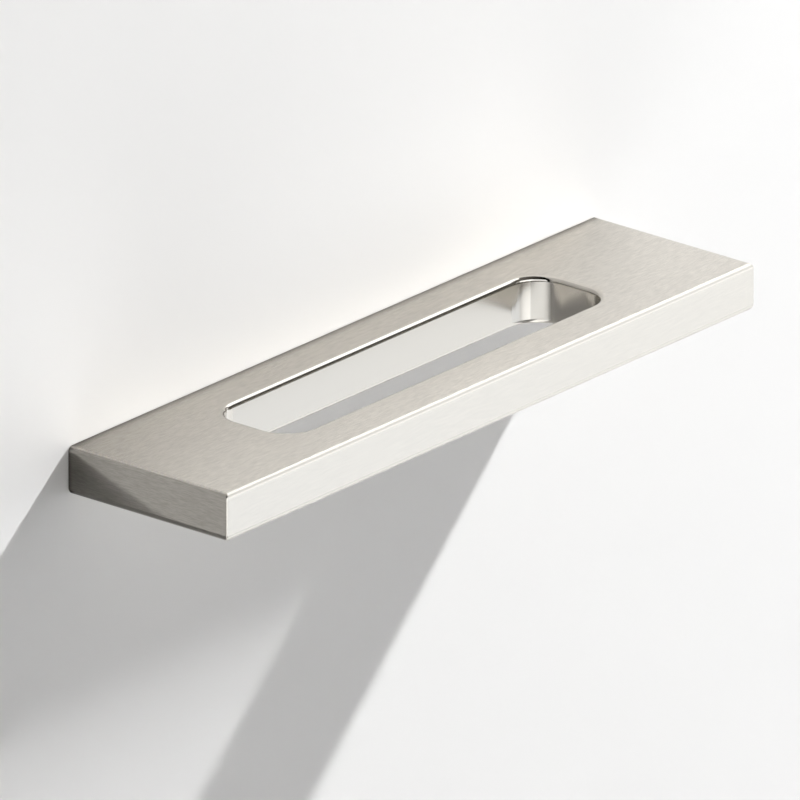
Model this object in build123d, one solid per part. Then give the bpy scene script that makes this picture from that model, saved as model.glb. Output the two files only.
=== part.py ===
from build123d import *
from math import radians, tan
import os

# A flat bar pull for a drawer front or a cabinet door, milled from one bar of
# metal. It stands out from the panel like a small shelf, and the fingers hook
# into one long slot that goes through it from top to bottom. Two screws come
# through the panel from behind, into threaded holes in its back face.
#
# Sizes are in millimetres and angles in degrees. The origin is the middle of
# the back face, which lies flat on the panel. +X runs along the bar, +Y goes
# out of the back face into the panel, and +Z is up.

# The bar
bar_length = 152.4
bar_depth = 38.1
bar_height = 9.525

# The rounding of its edges. The fingers pull on the underside, so the edges
# there are the roundest. The upright edges at the front corners and the rim
# that lies on the panel only have their burr taken off.
top_edge_radius = 1.05
bottom_edge_radius = 1.4
upright_edge_radius = 0.3
back_edge_radius = 0.4

# The metal that is left around the finger slot, and the slot's own rounding
end_block_length = 29.6
back_rail_depth = 9.4
front_rail_depth = 9.65
slot_corner_radius = 6.35
slot_edge_radius = 1.05

# The screw holes, for an 8-32 thread: drilled, tapped and countersunk
screw_inset = 12.2
tapping_radius = 1.725
drill_depth = 15.0
drill_point_angle = 118.0
thread_radius = 2.083
thread_depth = 12.0
countersink_radius = 2.6
countersink_angle = 90.0

# The slot fills what the rails and end blocks leave, and a hole sits in the
# middle of the height at each end.
slot_length = bar_length - 2 * end_block_length
slot_width = bar_depth - back_rail_depth - front_rail_depth
screw_spacing = bar_length - 2 * screw_inset


def free_rim(bar, side):
    """The front and end edges of the bottom (0) or top (-1) face, without the back edge."""
    rim = bar.faces().sort_by(Axis.Z)[side].edges()
    return rim - rim.sort_by(Axis.Y)[-1:]


def rounded_bar():
    """The bar before it is milled, with its back face on the plane y = 0."""
    bar = Box(
        bar_length,
        bar_depth,
        bar_height,
        align=(Align.CENTER, Align.MAX, Align.CENTER),
    )
    # Two rounded edges meet in a mitre at each front corner.
    bar = fillet(free_rim(bar, -1), top_edge_radius)
    bar = fillet(free_rim(bar, 0), bottom_edge_radius)
    upright_edges = bar.edges().filter_by(Axis.Z).group_by(Axis.Y)[0]
    bar = fillet(upright_edges, upright_edge_radius)
    back_rim = bar.faces().sort_by(Axis.Y)[-1].edges()
    return fillet(back_rim, back_edge_radius)


def mill_finger_slot(bar):
    """Cuts the round-cornered slot through the bar and rounds its two rims."""
    corner_radius = min(slot_corner_radius, 0.49 * slot_width)
    outline = RectangleRounded(slot_length, slot_width, corner_radius)
    middle_y = -back_rail_depth - slot_width / 2
    cutter = Pos(0, middle_y) * extrude(outline, bar_height, both=True)
    milled = bar - cutter
    rims = new_edges(bar, cutter, combined=milled).filter_by(Axis.Z, reverse=True)
    return fillet(rims, slot_edge_radius)


def screw_hole_tool(x):
    """The space of one blind hole: countersunk mouth, thread, drilled wall and drill point."""
    sink_depth = (countersink_radius - thread_radius) / tan(radians(countersink_angle / 2))
    point_depth = tapping_radius / tan(radians(drill_point_angle / 2))
    half_section = Polyline(
        (0, 0),
        (countersink_radius, 0),
        (thread_radius, -sink_depth),
        (thread_radius, -thread_depth),
        (tapping_radius, -thread_depth),
        (tapping_radius, -drill_depth),
        (0, -drill_depth - point_depth),
        close=True,
    )
    return Pos(x, 0, 0) * revolve(make_face(half_section), Axis.Y)


pull_bar = mill_finger_slot(rounded_bar())
for x in (-screw_spacing / 2, screw_spacing / 2):
    pull_bar -= screw_hole_tool(x)

os.makedirs("parts", exist_ok=True)
export_step(pull_bar, "parts/pull_bar.step")
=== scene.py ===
# %% [markdown]
# A brushed nickel pull on a cabinet door
#
# This lesson dresses a flat bar pull for its picture. The pull was drawn in CAD
# and comes in as a finished mesh, so its own shape isn't changed here. What is
# left is what makes metal look like metal: a brushed finish that catches the
# light in one direction, a smoother finger slot, a thread in each screw hole,
# and light that gives every face something to reflect.
#
# Sizes are in metres. +X runs along the bar, +Y goes into the door behind it,
# and +Z is up. The middle of the back face is the origin.

# %% Load the pull
import math

import bpy
from mathutils import Matrix, Vector


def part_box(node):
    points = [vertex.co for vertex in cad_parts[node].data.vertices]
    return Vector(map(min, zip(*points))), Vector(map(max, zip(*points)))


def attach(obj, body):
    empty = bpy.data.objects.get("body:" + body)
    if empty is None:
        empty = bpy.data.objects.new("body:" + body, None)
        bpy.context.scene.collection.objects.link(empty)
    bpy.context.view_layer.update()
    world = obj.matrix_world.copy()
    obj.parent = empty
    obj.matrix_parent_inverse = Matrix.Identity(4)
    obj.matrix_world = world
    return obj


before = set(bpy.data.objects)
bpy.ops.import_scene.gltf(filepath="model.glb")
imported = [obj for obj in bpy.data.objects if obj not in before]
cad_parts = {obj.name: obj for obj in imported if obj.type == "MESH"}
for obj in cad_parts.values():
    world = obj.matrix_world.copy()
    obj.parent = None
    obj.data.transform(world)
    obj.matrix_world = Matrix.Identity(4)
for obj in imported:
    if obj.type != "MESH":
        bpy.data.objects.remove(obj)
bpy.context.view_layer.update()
bpy.ops.object.select_all(action="DESELECT")
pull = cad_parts["pull_bar"]
low, high = (Vector(corner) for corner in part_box("pull_bar"))
print("The bar measures", [round(side * 1000, 2) for side in high - low], "mm")

# %% [markdown]
# The camera
#
# A picture of a small product is often taken from far away through a long
# lens, so that its edges stay nearly parallel. This camera does the same. It
# stands to the left of the pull and a little above it, and looks past the
# middle of the bar, so that the shadow on the door has room below.

# %% Place the camera
AZIMUTH = math.radians(-50.330)
ELEVATION = math.radians(21.407)
CAMERA_DISTANCE = 5.945
LENS_MM = 1451.6
SENSOR_MM = 36
FARTHEST_SEEN = 60
AIM_POINT = Vector((0, -0.020, 0))
AIM_RIGHT = -0.003195
AIM_UP = -0.003853

sight = Vector((
    -math.sin(AZIMUTH) * math.cos(ELEVATION),
    math.cos(AZIMUTH) * math.cos(ELEVATION),
    -math.sin(ELEVATION),
))
right = sight.cross(Vector((0, 0, 1))).normalized()
up = right.cross(sight)
eye = AIM_POINT - sight * CAMERA_DISTANCE + right * AIM_RIGHT + up * AIM_UP

bpy.ops.object.camera_add(location=eye)
camera = bpy.context.object
camera.name = "product_camera"
camera.rotation_euler = Matrix((right, up, -sight)).transposed().to_euler()
camera.data.sensor_width = SENSOR_MM
camera.data.lens = LENS_MM
camera.data.clip_end = FARTHEST_SEEN
bpy.context.scene.camera = camera
bpy.context.scene.view_settings.view_transform = "Standard"
print("The camera stands", round(eye.length, 2), "m from the pull")

# %% [markdown]
# Small helpers for node trees
#
# A material is a chain of small steps. Naming the kind of node, its settings
# and what goes into it on one line keeps such a chain readable.

# %% Add and join nodes
def add_node(tree, kind, inputs=(), **settings):
    """Adds a node. inputs pairs a socket's name or number with a value or an output."""
    node = tree.nodes.new(kind)
    for name, value in settings.items():
        setattr(node, name, value)
    for key, value in dict(inputs).items():
        if isinstance(value, bpy.types.NodeSocket):
            tree.links.new(value, node.inputs[key])
        else:
            node.inputs[key].default_value = value
    return node


def calculate(tree, operation, first, second=0.0, third=0.0):
    """One sum on numbers, as an output that the next step can use."""
    inputs = {0: first, 1: second, 2: third}
    return add_node(tree, "ShaderNodeMath", inputs, operation=operation).outputs[0]


def fade(tree, value, start, end, low_value=0.0, high_value=1.0):
    """A number that goes smoothly from low_value at start to high_value at end."""
    inputs = {"Value": value, "From Min": start, "From Max": end, "To Min": low_value, "To Max": high_value}
    node = add_node(tree, "ShaderNodeMapRange", inputs, interpolation_type="SMOOTHSTEP", clamp=True)
    return node.outputs["Result"]

# %% Take places apart and scale colours
def split(tree, vector):
    """The X, Y and Z of a place or a direction."""
    return add_node(tree, "ShaderNodeSeparateXYZ", {0: vector}).outputs


def scaled(tree, vector, factor):
    """A colour or a direction times a number."""
    return add_node(tree, "ShaderNodeVectorMath", {0: vector, "Scale": factor}, operation="SCALE").outputs[0]

# %% Start and end a material
def new_material(name):
    """An empty material, with its node tree and its output node."""
    material = bpy.data.materials.new(name)
    material.use_nodes = True
    material.node_tree.nodes.clear()
    output = material.node_tree.nodes.new("ShaderNodeOutputMaterial")
    return material, material.node_tree, output


def show_where(tree, output, share, shader):
    """Ends a material that is there where share is 1, and lets all light through where it is 0."""
    clear = add_node(tree, "ShaderNodeBsdfTransparent").outputs[0]
    mix = add_node(tree, "ShaderNodeMixShader", {0: share, 1: clear, 2: shader})
    tree.links.new(mix.outputs[0], output.inputs["Surface"])

# %% [markdown]
# Paint for the floor and the door
#
# The pull hangs on a plain white door, and its top face mirrors that door. From
# behind, the door would hide the pull, so it is only there for rays that come
# from the front: Backfacing tells the two sides apart. The floor's paint is
# made the same way.

# %% Mix a matt paint
FLOOR_COLOUR = (0.85, 0.85, 0.845, 1)
MATT_ROUGHNESS = 0.9
MATT_SHINE = 0.2


def matt(tree, colour):
    """A matt surface with hardly any shine, in a plain colour or in one that a node gives."""
    inputs = {"Base Color": colour, "Roughness": MATT_ROUGHNESS, "Specular IOR Level": MATT_SHINE}
    return add_node(tree, "ShaderNodeBsdfPrincipled", inputs).outputs[0]


def on_front(tree):
    """1 on the front of a sheet and 0 on its back."""
    backfacing = add_node(tree, "ShaderNodeNewGeometry").outputs["Backfacing"]
    return calculate(tree, "SUBTRACT", 1.0, backfacing)


def build_floor_paint():
    """A matt paint that can't be seen from behind."""
    material, tree, output = new_material("floor_paint")
    show_where(tree, output, on_front(tree), matt(tree, FLOOR_COLOUR))
    return material

# %% [markdown]
# The door as the metal mirrors it
#
# The camera sees the door straight on, and once more in the metal, close to the
# pull. There it is darker: the bar keeps light off the door near it, the gap
# behind its back edges gets hardly any, a slanted shadow lies beside the left
# end, and the door's left side is dimmer as a whole. The real room would give
# all of this by itself, but its walls and lamps aren't known. So the paint has
# a second tone, for glossy rays alone: painted shade near the pull, in the gap,
# in the shadow and on the left, and painted light from the middle to the right.

# %% Paint shade on the door for the metal
COVERED_INSET = 0.0001
NEAR_ENDS = (0.060, 0.105)
NEAR_REACH = 0.030
NEAR_LEVEL = 0.71
SHADOW_SLOPE = 0.893
SHADOW_EDGE = (-0.004, 0.001)
SHADOW_REACH = 0.010
SHADOW_LEVEL = 0.64
GAP_REACH = 0.0017
GAP_LEVEL = 0.28
SIDE_REACH = (-0.085, -0.030)
SIDE_LEVELS = (0.80, 1.13)

covered_x = high.x - COVERED_INSET
covered_z = high.z - COVERED_INSET


def away_from_pull(tree, parts):
    """How far a point of the door lies outside the strip that the pull covers. Inside it is negative."""
    over_x = calculate(tree, "SUBTRACT", calculate(tree, "ABSOLUTE", parts[0]), covered_x)
    over_z = calculate(tree, "SUBTRACT", calculate(tree, "ABSOLUTE", parts[2]), covered_z)
    return calculate(tree, "MAXIMUM", over_x, over_z)


def painted_shade_in_metal(tree, parts, away):
    """Painted shade in the mirrored door: near the pull, in its shadow and gap; painted light to the right.
    """
    near_level = fade(tree, calculate(tree, "ABSOLUTE", parts[0]), *NEAR_ENDS, NEAR_LEVEL, 1.0)
    tone = fade(tree, away, 0.0, NEAR_REACH, near_level, 1.0)
    # The painted shadow's upper edge falls away to the left from the top of the left end.
    from_end = calculate(tree, "ADD", parts[0], covered_x)
    over_top = calculate(tree, "SUBTRACT", parts[2], covered_z)
    over_edge = calculate(tree, "MULTIPLY_ADD", from_end, -SHADOW_SLOPE, over_top)
    shadow_level = fade(tree, from_end, 0.0, SHADOW_REACH, SHADOW_LEVEL, 1.0)
    in_shadow = fade(tree, over_edge, *SHADOW_EDGE, shadow_level, 1.0)
    in_gap = fade(tree, away, 0.0, GAP_REACH, GAP_LEVEL, 1.0)
    to_side = fade(tree, parts[0], *SIDE_REACH, *SIDE_LEVELS)
    for level in (in_shadow, in_gap, to_side):
        tone = calculate(tree, "MULTIPLY", tone, level)
    return tone

# %% [markdown]
# The door and the floor
#
# Both are plain sheets. The strip of door that the pull itself covers is only
# there for the camera. Other rays pass through it, so that light from behind
# reaches the back face and its screw holes when they are looked at.

# %% Hang the door and lay the floor
DOOR_COLOUR = (0.862, 0.853, 0.84)
DOOR_GAP = 0.00005
SHEET_SIZE = 3.0
FLOOR_DROP = 0.55
UPRIGHT = (math.pi / 2, 0, 0)
FLAT = (0, 0, 0)


def build_door_paint():
    """A matt paint with a front only, open behind the pull, and with painted shade in its mirror image."""
    material, tree, output = new_material("door_paint")
    parts = split(tree, add_node(tree, "ShaderNodeTexCoord").outputs["Object"])
    light_path = add_node(tree, "ShaderNodeLightPath").outputs
    away = away_from_pull(tree, parts)
    # The painted shade darkens the door's colour for glossy rays only.
    change = calculate(tree, "SUBTRACT", painted_shade_in_metal(tree, parts, away), 1.0)
    tone = calculate(tree, "MULTIPLY_ADD", light_path["Is Glossy Ray"], change, 1.0)
    covered = calculate(tree, "LESS_THAN", away, 0.0)
    off_camera = calculate(tree, "SUBTRACT", 1.0, light_path["Is Camera Ray"])
    solid = calculate(tree, "SUBTRACT", 1.0, calculate(tree, "MULTIPLY", covered, off_camera))
    share = calculate(tree, "MULTIPLY", on_front(tree), solid)
    show_where(tree, output, share, matt(tree, scaled(tree, DOOR_COLOUR, tone)))
    return material


def stage_sheet(name, width, height, place, turn, material):
    """A flat sheet of scenery, with its size, turn and place baked into its mesh."""
    bpy.ops.mesh.primitive_plane_add(size=1)
    sheet = bpy.context.object
    sheet.name = name
    sheet.scale = (width, height, 1)
    sheet.rotation_euler = turn
    sheet.location = place
    bpy.ops.object.transform_apply(location=True, rotation=True, scale=True)
    sheet.data.materials.append(material)
    bpy.ops.object.select_all(action="DESELECT")
    return sheet


floor_place = (0, DOOR_GAP - SHEET_SIZE / 2, -FLOOR_DROP)
stage_sheet("door", SHEET_SIZE, SHEET_SIZE, (0, DOOR_GAP, 0), UPRIGHT, build_door_paint())
stage_sheet("floor", SHEET_SIZE, SHEET_SIZE, floor_place, FLAT, build_floor_paint())
print("The floor lies", FLOOR_DROP, "m below the pull")

# %% [markdown]
# The key lamp
#
# One lamp stands high on the right, close to the plane of the door. It draws
# the long slanted shadow under the bar, and its size sets how soft the shadow's
# edge is. It is longer from front to back than the other way. A long area lamp
# has that shape too, but it spreads its light over the whole room. So this is a
# row of small spot bulbs, whose light weakens only slowly.
#
# The bar also throws some of this light back on to the door. One more bulb
# feeds only that bounce, so that its strength can be set by itself.

# %% Hang the key lamp
KEY_PLACE = Vector((0.754, -0.107, 0.673))
KEY_BULBS = 5
KEY_SPACING = 0.026
KEY_RADIUS = 0.020
KEY_CONE = math.radians(46)
KEY_CONE_BLEND = 0.5
KEY_POWER = 203.0
KEY_COLOUR = (0.972, 0.984, 1.0)
BOUNCE_RADIUS = 0.06
BOUNCE_POWER = 100.0


def spot_bulb(name, place, radius, power, bounced_only=False):
    """A round bulb that faces the pull. With bounced_only it counts only after light has met the door."""
    bpy.ops.object.light_add(type="SPOT", location=place)
    bulb = bpy.context.object
    bulb.name = name
    bulb.rotation_euler = place.to_track_quat("Z", "Y").to_euler()
    bulb.data.energy = power
    bulb.data.shadow_soft_size = radius
    bulb.data.spot_size = KEY_CONE
    bulb.data.spot_blend = KEY_CONE_BLEND
    bulb.visible_camera = False
    bulb.data.use_nodes = True
    tree = bulb.data.node_tree
    strength = 1.0
    if bounced_only:
        strength = add_node(tree, "ShaderNodeLightPath").outputs["Diffuse Depth"]
    falloff = add_node(tree, "ShaderNodeLightFalloff", {"Strength": strength})
    tree.links.new(falloff.outputs["Linear"], tree.nodes["Emission"].inputs["Strength"])
    return bulb


for number in range(KEY_BULBS):
    shift = Vector((0, (number - (KEY_BULBS - 1) / 2) * KEY_SPACING, 0))
    key = spot_bulb("key_lamp_" + str(number + 1), KEY_PLACE + shift, KEY_RADIUS, KEY_POWER / KEY_BULBS)
    key.visible_glossy = False
    key.data.color = KEY_COLOUR
bounce = spot_bulb("bounce_lamp", KEY_PLACE, BOUNCE_RADIUS, BOUNCE_POWER, bounced_only=True)
bounce.visible_diffuse = False
print("The key lamp stands", round(KEY_PLACE.length, 3), "m from the pull")

# %% [markdown]
# The soft panel
#
# The front face is flat and looks evenly bright, so it mirrors one wide soft
# light. A look from the camera bounces off the front face to the lower right,
# and that is where the panel stands.

# %% Hang the soft panel
PANEL_DISTANCE = 1.1
PANEL_SIZE = 1.3
PANEL_POWER = 6.95
PANEL_COLOUR = (0.887, 0.934, 1.0)

panel_place = Vector((sight.x, -sight.y, sight.z)) * PANEL_DISTANCE
bpy.ops.object.light_add(type="AREA", location=panel_place)
panel = bpy.context.object
panel.name = "soft_panel"
panel.rotation_euler = (-panel_place).to_track_quat("-Z", "Y").to_euler()
panel.data.shape = "SQUARE"
panel.data.size = PANEL_SIZE
panel.data.energy = PANEL_POWER
panel.data.color = PANEL_COLOUR
panel.visible_camera = False
print("The soft panel is", PANEL_SIZE, "m wide")

# %% [markdown]
# White cards
#
# In a studio, white cards stand round shiny metal, so that its edges and hollows
# find something bright to mirror. The key lamp itself would do it too, but its
# mirror image is so bright that it burns out. So the lamp is hidden from the
# metal, and the cards from everything but the metal: they light up nothing on
# the door.

# %% Stand the cards
CARD_COLOUR = (0.96, 0.98, 1.0, 1)
CARDS = {
    "white_card": dict(way=(-0.5234, -0.8376, -0.1564), distance=1.1, width=2.5, height=1.85, light=2.2),
    "high_card": dict(way=(0.717, -0.222, 0.661), distance=0.85, width=0.5, height=0.5, light=2.45),
    "middle_card": dict(way=(0.717, -0.613, 0.330), distance=0.95, width=0.7, height=0.34, light=1.25),
    "low_card": dict(way=(0.717, -0.220, -0.661), distance=0.6, width=0.5, height=0.5, light=1.5),
}


def build_card_white(name, light):
    """White that glows in the metal alone, on the front of its card."""
    material, tree, output = new_material(name)
    in_metal = add_node(tree, "ShaderNodeLightPath").outputs["Is Glossy Ray"]
    glow = add_node(tree, "ShaderNodeEmission", {"Color": CARD_COLOUR, "Strength": light}).outputs[0]
    show_where(tree, output, calculate(tree, "MULTIPLY", in_metal, on_front(tree)), glow)
    return material


def stand_card(name, way, distance, width, height, light):
    """A card that faces the pull from a distance, and that the camera can't see."""
    place = Vector(way) * distance
    turn = (-place).to_track_quat("Z", "Y").to_euler()
    sheet = stage_sheet(name, width, height, place, turn, build_card_white(name, light))
    sheet.visible_camera = False


for name, card in CARDS.items():
    stand_card(name, **card)
print("There are", len(CARDS), "cards round the pull")

# %% [markdown]
# Where the finger slot is
#
# The slot needs a finish of its own, but the finished mesh is one piece, with
# one material. Faces could be picked out and given a second material, which
# leaves a hard line between the two. Here the material works out the distance
# from the slot's outline instead. The slot fills what the rails and the end
# blocks leave, so its place follows from the bar's box and their sizes.

# %% Work out the slot's place
END_BLOCK = 0.0296
BACK_RAIL = 0.0094
FRONT_RAIL = 0.00965
SLOT_CORNER = 0.00635
RIM = 0.00105

slot_end = high.x - END_BLOCK
slot_back = high.y - BACK_RAIL
slot_front = low.y + FRONT_RAIL
print("The slot measures", round(slot_end * 2000, 2), "by", round((slot_back - slot_front) * 1000, 2), "mm")

# %% [markdown]
# The dark flag
#
# Along the back of the slot, the rounded rim carries one thin dark line. It is
# the mirror image of something dark and low in front of the pull. In a studio,
# a piece of dark felt gives such a line, and it is called a flag. Here it hangs
# over the front rail. Other parts of the metal would mirror it as well, so the
# felt asks where each ray set out, and is only there for rays from that rim.

# %% Hang the dark flag
FELT_COLOUR = (0.10, 0.095, 0.09, 1)
FLAG_PLACE = (0.014, -0.031, 0.0120)
FLAG_WIDTH = 0.14
FLAG_HEIGHT = 0.0144
FACING_BACK = (-math.pi / 2, 0, 0)
RIM_MARGIN = 0.000075
RIM_LINE_END = 0.0430


def combine(tree, operation, first, second):
    """One sum on two places, directions or colours."""
    return add_node(tree, "ShaderNodeVectorMath", {0: first, 1: second}, operation=operation).outputs[0]


def build_rim_felt():
    """Dark felt that shows only to rays that set out from the rim behind the slot."""
    material, tree, output = new_material("dark_felt")
    hit = add_node(tree, "ShaderNodeNewGeometry").outputs
    length = add_node(tree, "ShaderNodeLightPath").outputs["Ray Length"]
    start = split(tree, combine(tree, "ADD", hit["Position"], scaled(tree, hit["Incoming"], length)))
    on_rim = calculate(tree, "COMPARE", start[1], slot_back + RIM / 2, RIM / 2 + RIM_MARGIN)
    on_line = calculate(tree, "LESS_THAN", calculate(tree, "ABSOLUTE", start[0]), RIM_LINE_END)
    show_where(tree, output, calculate(tree, "MULTIPLY", on_rim, on_line), matt(tree, FELT_COLOUR))
    return material


flag = stage_sheet("dark_flag", FLAG_WIDTH, FLAG_HEIGHT, FLAG_PLACE, FACING_BACK, build_rim_felt())
flag.visible_camera = flag.visible_diffuse = flag.visible_shadow = False
print("The flag hangs", round((FLAG_PLACE[2] - FLAG_HEIGHT / 2 - high.z) * 1000, 2), "mm over the bar")

# %% [markdown]
# The room
#
# What is left is the light of the room, which fills the shadows and gives the
# metal its darker sides. It comes mostly from the right, is a little warm, and
# weakens overhead. The camera sees plain white in its place.

# %% Light the room
ROOM_COLOUR = (1, 0.95, 0.89, 1)
ROOM_LEFT = 0.02
ROOM_RIGHT = 0.55
ROOM_SIDES = (-0.8, 0.8)
ROOM_TOP = 0.5
ROOM_HEIGHTS = (0.1, 0.7)
WHITE = (1, 1, 1, 1)


def build_room():
    """A room that is brighter on the right, warm for the pull and white for the camera."""
    room = bpy.data.worlds.new("room")
    room.use_nodes = True
    tree = room.node_tree
    tree.nodes.clear()
    way = split(tree, add_node(tree, "ShaderNodeTexCoord").outputs["Generated"])
    to_side = fade(tree, way[0], *ROOM_SIDES, ROOM_LEFT, ROOM_RIGHT)
    to_top = fade(tree, way[2], *ROOM_HEIGHTS, 1.0, ROOM_TOP)
    in_camera = add_node(tree, "ShaderNodeLightPath").outputs["Is Camera Ray"]
    level = calculate(tree, "MAXIMUM", calculate(tree, "MULTIPLY", to_side, to_top), in_camera)
    tint = add_node(tree, "ShaderNodeMix", {0: in_camera, 6: ROOM_COLOUR, 7: WHITE}, data_type="RGBA")
    sky = add_node(tree, "ShaderNodeBackground", {"Color": tint.outputs[2], "Strength": level})
    add_node(tree, "ShaderNodeOutputWorld", {"Surface": sky.outputs[0]})
    return room


bpy.context.scene.world = build_room()
print("The world is", bpy.context.scene.world.name)

# %% [markdown]
# The grain of brushed metal
#
# Brushing drags thousands of fine scratches over the metal, all one way. Seen
# close they are short streaks of slightly lighter and darker metal. A picture
# of brushed metal could be wrapped round the bar, but it would show its seams.
# A noise that is stretched about ten times as long along the brush as across it
# has none. The bar and the threads both use it, so it is a group.

# %% Build the grain group
SCRATCH_LENGTH = 0.0022
SCRATCH_WIDTH = 0.0002
SCRATCH_NOISE = {"Scale": 1.0, "Detail": 4.0, "Roughness": 0.62}
SCRATCH_SHARE = 0.8
STREAK_STRETCH = (0.5, 0.3, 0.3)
STREAK_NOISE = {"Scale": 1.0, "Detail": 2.0, "Roughness": 0.5}


def build_grain_group():
    """Scratches along local X: out come their height and their tone, both from 0 to 1."""
    group = bpy.data.node_groups.new("brushed_grain", "ShaderNodeTree")
    group.interface.new_socket("Position", in_out="INPUT", socket_type="NodeSocketVector")
    for name, value in (("Length", SCRATCH_LENGTH), ("Width", SCRATCH_WIDTH)):
        socket = group.interface.new_socket(name, in_out="INPUT", socket_type="NodeSocketFloat")
        socket.default_value = value
    for name in ("Height", "Tone"):
        group.interface.new_socket(name, in_out="OUTPUT", socket_type="NodeSocketFloat")

    entry = add_node(group, "NodeGroupInput").outputs
    along = calculate(group, "DIVIDE", 1.0, entry["Length"])
    across = calculate(group, "DIVIDE", 1.0, entry["Width"])
    scale = add_node(group, "ShaderNodeCombineXYZ", {0: along, 1: across, 2: across}).outputs[0]
    fine = combine(group, "MULTIPLY", entry["Position"], scale)
    broad = combine(group, "MULTIPLY", fine, STREAK_STRETCH)
    scratches = add_node(group, "ShaderNodeTexNoise", {"Vector": fine, **SCRATCH_NOISE}).outputs[0]
    streaks = add_node(group, "ShaderNodeTexNoise", {"Vector": broad, **STREAK_NOISE}).outputs[0]
    from_streaks = calculate(group, "MULTIPLY", streaks, 1.0 - SCRATCH_SHARE)
    tone = calculate(group, "MULTIPLY_ADD", scratches, SCRATCH_SHARE, from_streaks)
    add_node(group, "NodeGroupOutput", {"Height": scratches, "Tone": tone})
    return group


def add_grain(tree, position):
    """Places the grain group in a material, with its scratches along the X of position."""
    grain = add_node(tree, "ShaderNodeGroup", node_tree=grain_group)
    tree.links.new(position, grain.inputs["Position"])
    return grain.outputs


grain_group = build_grain_group()
print("The grain group has", len(grain_group.nodes), "nodes")

# %% [markdown]
# Brushed satin nickel
#
# Nickel is a warm grey metal. The long faces are brushed along the bar, and
# the two ends across it, so the direction of the grain follows which way the
# surface faces. The finger slot is milled smooth instead, without any grain,
# and its rounded rims are almost polished. The distance from the slot's outline
# tells the two finishes apart, with a soft change on the rim.

# %% Measure from the slot
def slot_distance(tree, parts):
    """How far a point lies outside the slot's outline, seen from above."""
    half_length = slot_end - SLOT_CORNER
    half_width = (slot_back - slot_front) / 2 - SLOT_CORNER
    from_middle = calculate(tree, "SUBTRACT", parts[1], (slot_back + slot_front) / 2)
    over_x = calculate(tree, "SUBTRACT", calculate(tree, "ABSOLUTE", parts[0]), half_length)
    over_y = calculate(tree, "SUBTRACT", calculate(tree, "ABSOLUTE", from_middle), half_width)
    over_x = calculate(tree, "MAXIMUM", over_x, 0.0)
    over_y = calculate(tree, "MAXIMUM", over_y, 0.0)
    squares = calculate(tree, "MULTIPLY_ADD", over_x, over_x, calculate(tree, "MULTIPLY", over_y, over_y))
    return calculate(tree, "SUBTRACT", calculate(tree, "SQRT", squares), SLOT_CORNER)

# %% [markdown]
# How rough the nickel is
#
# Roughness decides how sharply a face mirrors the room. The long faces give
# soft reflections, and the rounded edges between them still softer ones. The
# left end mirrors the edge of the shadow beside it clearly, so both ends are
# smooth under their grain. One number for the whole bar would lose all that.

# %% Set the roughness
FACE_ROUGHNESS = 0.25
EDGE_ROUGHNESS = 0.30
END_ROUGHNESS = 0.07
SLOT_ROUGHNESS = 0.20
RIM_ROUGHNESS = 0.09
EDGE_FLATNESS = (0.998, 0.94)
RIM_FACING = (0.05, 0.25)


def blend_numbers(tree, share, first, second):
    """The first number where share is 0, and the second where it is 1."""
    return add_node(tree, "ShaderNodeMix", {0: share, 2: first, 3: second}).outputs[0]


def nickel_roughness(tree, facing, is_end, from_slot, brushed):
    """One roughness each for faces, edges and ends, and for the slot's wall and its rims."""
    flatness = calculate(tree, "ABSOLUTE", facing[0])
    for axis in (1, 2):
        flatness = calculate(tree, "MAXIMUM", flatness, calculate(tree, "ABSOLUTE", facing[axis]))
    on_edge = fade(tree, flatness, *EDGE_FLATNESS)
    outside = fade(tree, on_edge, 0.0, 1.0, FACE_ROUGHNESS, EDGE_ROUGHNESS)
    beyond_rim = fade(tree, from_slot, RIM, 2 * RIM)
    outside = blend_numbers(tree, beyond_rim, FACE_ROUGHNESS, outside)
    outside = blend_numbers(tree, is_end, outside, END_ROUGHNESS)
    on_rim = fade(tree, calculate(tree, "ABSOLUTE", facing[2]), *RIM_FACING)
    inside = fade(tree, on_rim, 0.0, 1.0, SLOT_ROUGHNESS, RIM_ROUGHNESS)
    return blend_numbers(tree, brushed, inside, outside)

# %% [markdown]
# How bright the nickel is
#
# The grain makes the metal a little lighter and darker from streak to streak.
# Three levels of painted light and shade come on top of it: the ends and the
# inside of the slot are painted a little darker than the other faces, and the
# top a little lighter.

# %% Set the tone
NICKEL = (0.61, 0.580, 0.530)
STREAK_RANGE = (0.36, 0.64)
STREAK_TONES = (-0.11, 0.11)
# Painted shade on the ends and in the slot, and painted light on the top.
END_PAINTED_SHADE = 0.73
SLOT_PAINTED_SHADE = 0.90
TOP_PAINTED_LIGHT = 1.05
TOP_FACING = (0.7, 0.95)


def grain_and_painted_light(tree, facing, is_end, brushed, streaks, shows):
    """How bright the metal is: its grain, painted shade on the ends and in the slot, painted light on top.
    """
    streak = fade(tree, streaks, *STREAK_RANGE, *STREAK_TONES)
    tone = calculate(tree, "MULTIPLY_ADD", shows, streak, 1.0)
    end_shade = fade(tree, is_end, 0.0, 1.0, 1.0, END_PAINTED_SHADE)
    slot_shade = fade(tree, brushed, 0.0, 1.0, SLOT_PAINTED_SHADE, 1.0)
    top_light = fade(tree, facing[2], *TOP_FACING, 1.0, TOP_PAINTED_LIGHT)
    for level in (end_shade, slot_shade, top_light):
        tone = calculate(tree, "MULTIPLY", tone, level)
    return tone

# %% [markdown]
# The bar's finish
#
# Tone, roughness and grain meet in one metal. Brushed metal also draws a
# highlight out across its scratches. Anisotropic does that, along a tangent
# that runs round the bar on the long faces and round the Y axis on the ends.

# %% Build the nickel material
END_FACING = (0.57, 0.65)
RIM_BRUSHED = 0.60
FRONT_FACING = (0.3, 0.9)
FRONT_GRAIN = 0.18
GRAIN_BUMP = {"Strength": 0.16, "Distance": 0.00002}
ANISOTROPY = 0.3


def blend_vectors(tree, share, first, second):
    """The first direction or place where share is 0, and the second where it is 1."""
    return add_node(tree, "ShaderNodeMix", {0: share, 4: first, 5: second}, data_type="VECTOR").outputs[1]


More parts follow.
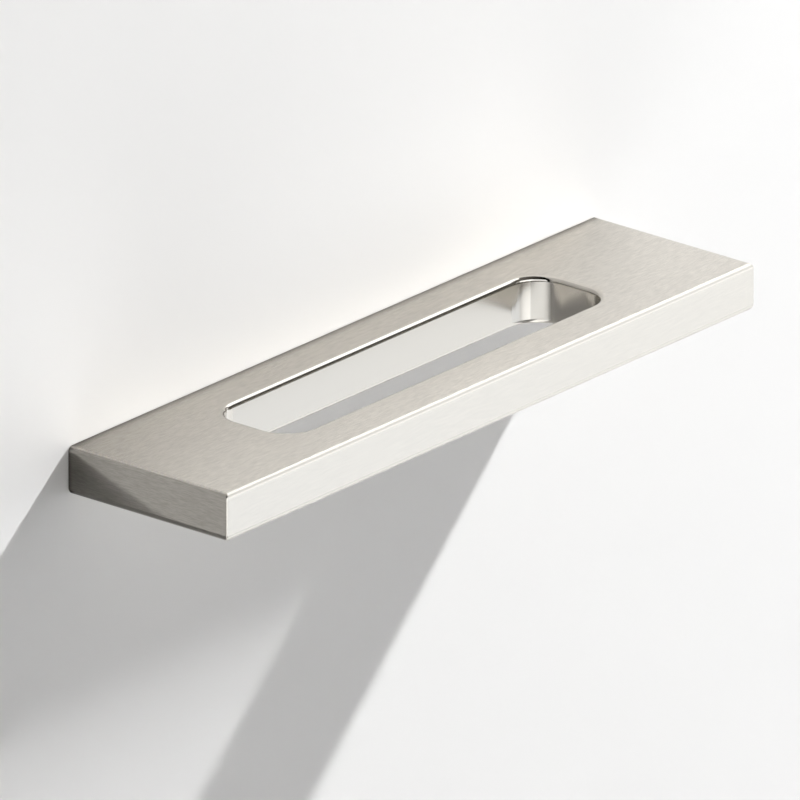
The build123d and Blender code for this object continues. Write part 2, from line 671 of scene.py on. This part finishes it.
def build_nickel():
    """Satin nickel, brushed along the bar and across its ends, and smooth in the slot."""
    material, tree, output = new_material("brushed_nickel")
    coordinates = add_node(tree, "ShaderNodeTexCoord").outputs
    parts = split(tree, coordinates["Object"])
    facing = split(tree, coordinates["Normal"])
    is_end = fade(tree, calculate(tree, "ABSOLUTE", facing[0]), *END_FACING)
    from_slot = slot_distance(tree, parts)
    brushed = fade(tree, from_slot, RIM_BRUSHED * RIM, RIM)

    # Across the ends the grain runs front to back, so their X and Y change places.
    turned = add_node(tree, "ShaderNodeCombineXYZ", {0: parts[1], 1: parts[0], 2: parts[2]}).outputs[0]
    grain = add_grain(tree, blend_vectors(tree, is_end, coordinates["Object"], turned))
    # The front is lit so evenly that its grain almost vanishes.
    to_front = calculate(tree, "ABSOLUTE", facing[1])
    shows = calculate(tree, "MULTIPLY", brushed, fade(tree, to_front, *FRONT_FACING, 1.0, FRONT_GRAIN))
    height = calculate(tree, "MULTIPLY", grain["Height"], shows)
    bump = add_node(tree, "ShaderNodeBump", {"Height": height, **GRAIN_BUMP})

    round_bar = add_node(tree, "ShaderNodeTangent", direction_type="RADIAL", axis="X").outputs[0]
    round_end = add_node(tree, "ShaderNodeTangent", direction_type="RADIAL", axis="Y").outputs[0]
    tone = grain_and_painted_light(tree, facing, is_end, brushed, grain["Tone"], shows)
    finish = {
        "Base Color": scaled(tree, NICKEL, tone),
        "Metallic": 1.0,
        "Roughness": nickel_roughness(tree, facing, is_end, from_slot, brushed),
        "Normal": bump.outputs[0],
        "Anisotropic": ANISOTROPY,
        "Tangent": blend_vectors(tree, is_end, round_bar, round_end),
    }
    metal = add_node(tree, "ShaderNodeBsdfPrincipled", finish)
    tree.links.new(metal.outputs[0], output.inputs["Surface"])
    return material


pull.material_slots[0].material = build_nickel()
print("The bar wears", pull.material_slots[0].material.name)

# %% [markdown]
# The finish of a cut thread
#
# A tap leaves bright metal with fine marks that run round the hole. The same
# grain group gives them, if its X is the way round the screw's own axis.

# %% Build the tapped nickel
SCREW_INSET = 0.0122
GROOVE_RADIUS = 0.002083
CUT_RANGE = (0.3, 0.7)
CUT_TONES = (0.80, 0.96)
CUT_ROUGHNESS = 0.24
CUT_BUMP = {"Strength": 0.3, "Distance": 0.00001}

screw_x = high.x - SCREW_INSET


def build_tapped_nickel():
    """Freshly cut metal, whose fine marks run round the hole."""
    material, tree, output = new_material("tapped_nickel")
    parts = split(tree, add_node(tree, "ShaderNodeTexCoord").outputs["Object"])
    from_axis = calculate(tree, "SUBTRACT", calculate(tree, "ABSOLUTE", parts[0]), screw_x)
    turn = calculate(tree, "ARCTAN2", parts[2], from_axis)
    along = calculate(tree, "MULTIPLY", turn, GROOVE_RADIUS)
    wound = add_node(tree, "ShaderNodeCombineXYZ", {0: along, 1: parts[1], 2: 0.0}).outputs[0]
    grain = add_grain(tree, wound)
    bump = add_node(tree, "ShaderNodeBump", {"Height": grain["Height"], **CUT_BUMP})
    finish = {
        "Base Color": scaled(tree, NICKEL, fade(tree, grain["Tone"], *CUT_RANGE, *CUT_TONES)),
        "Metallic": 1.0,
        "Roughness": CUT_ROUGHNESS,
        "Normal": bump.outputs[0],
    }
    metal = add_node(tree, "ShaderNodeBsdfPrincipled", finish)
    tree.links.new(metal.outputs[0], output.inputs["Surface"])
    return material


tapped_nickel = build_tapped_nickel()
print("The screw holes are", round(screw_x * 2000, 1), "mm apart")

# %% [markdown]
# The threads in the screw holes
#
# A tap cuts a spiral groove into the wall of a drilled hole, and the metal left
# between two turns is a ridge. In CAD the hole is as wide as the bottom of the
# groove, so here the ridge is added. It could be built turn by turn, but one
# section of it, wound up by a Screw modifier, gives the true spiral. The foot
# of the ridge sits a little way inside the wall, so that no crack shows.

# %% Wind a thread
THREAD_PITCH = 0.000794
THREAD_TURNS = 13
THREAD_STEPS = 40
CREST_RADIUS = 0.001725
CREST_SHARE = 0.22
RIDGE_FOOT = 0.00070
RIDGE_BED = 0.00004


def draw_ridge(name):
    """The outline of one ridge at its distance from the origin, wide at its foot and narrow at its crest."""
    depth = GROOVE_RADIUS + RIDGE_BED - CREST_RADIUS
    bpy.ops.mesh.primitive_plane_add(size=1, rotation=UPRIGHT)
    ridge = bpy.context.object
    ridge.name = name
    ridge.scale = (depth, RIDGE_FOOT, 1)
    bpy.ops.object.transform_apply(location=True, rotation=True, scale=True)
    bpy.ops.object.mode_set(mode="EDIT")
    bpy.ops.mesh.select_all(action="DESELECT")
    bpy.ops.object.mode_set(mode="OBJECT")
    for vertex in ridge.data.vertices:
        vertex.select = vertex.co.x < 0
    bpy.ops.object.mode_set(mode="EDIT")
    bpy.ops.transform.resize(value=(1, 1, CREST_SHARE))
    bpy.ops.mesh.select_all(action="SELECT")
    bpy.ops.transform.translate(value=(CREST_RADIUS + depth / 2, 0, 0))
    bpy.ops.mesh.delete(type="ONLY_FACE")
    bpy.ops.object.mode_set(mode="OBJECT")
    return ridge


def wind_thread(name):
    """One ridge, wound round the origin along +Z and closed at both ends."""
    ridge = draw_ridge(name)
    spiral = ridge.modifiers.new("spiral", "SCREW")
    spiral.axis = "Z"
    spiral.angle = 2 * math.pi
    spiral.screw_offset = THREAD_PITCH
    spiral.iterations = THREAD_TURNS
    spiral.steps = THREAD_STEPS
    spiral.render_steps = THREAD_STEPS
    bpy.ops.object.modifier_apply(modifier="spiral")
    bpy.ops.object.mode_set(mode="EDIT")
    bpy.ops.mesh.select_all(action="SELECT")
    bpy.ops.mesh.fill_holes(sides=4)
    bpy.ops.mesh.normals_make_consistent(inside=False)
    bpy.ops.object.mode_set(mode="OBJECT")
    return ridge


left_thread = wind_thread("left_thread")
print("One thread has", len(left_thread.data.polygons), "faces")

# %% [markdown]
# Both threads in their holes
#
# The right thread is a copy of the left one and not its mirror image, because
# both screws turn the same way. The copy gets its own mesh, because each
# thread's place is baked into its mesh. The first turn starts just behind the
# countersink.

# %% Place the threads
THREAD_START = 0.00062
SMOOTH_ANGLE = math.radians(30)


def place_thread(ridge, x):
    """Turns a wound ridge so that it runs into the hole, bakes its place and gives it its finish."""
    bpy.ops.object.select_all(action="DESELECT")
    ridge.select_set(True)
    bpy.context.view_layer.objects.active = ridge
    ridge.rotation_euler = UPRIGHT
    ridge.location = (x, -THREAD_START - RIDGE_FOOT / 2, 0)
    bpy.ops.object.transform_apply(location=True, rotation=True, scale=True)
    bpy.ops.object.shade_smooth_by_angle(angle=SMOOTH_ANGLE)
    ridge.data.materials.append(tapped_nickel)
    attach(ridge, "root")
    ends = [vertex.co.y for vertex in ridge.data.vertices]
    print(ridge.name, "runs from", round(-max(ends) * 1000, 2), "to", round(-min(ends) * 1000, 2), "mm deep")


right_thread = left_thread.copy()
right_thread.data = left_thread.data.copy()
right_thread.name = "right_thread"
bpy.context.collection.objects.link(right_thread)
place_thread(left_thread, -screw_x)
place_thread(right_thread, screw_x)
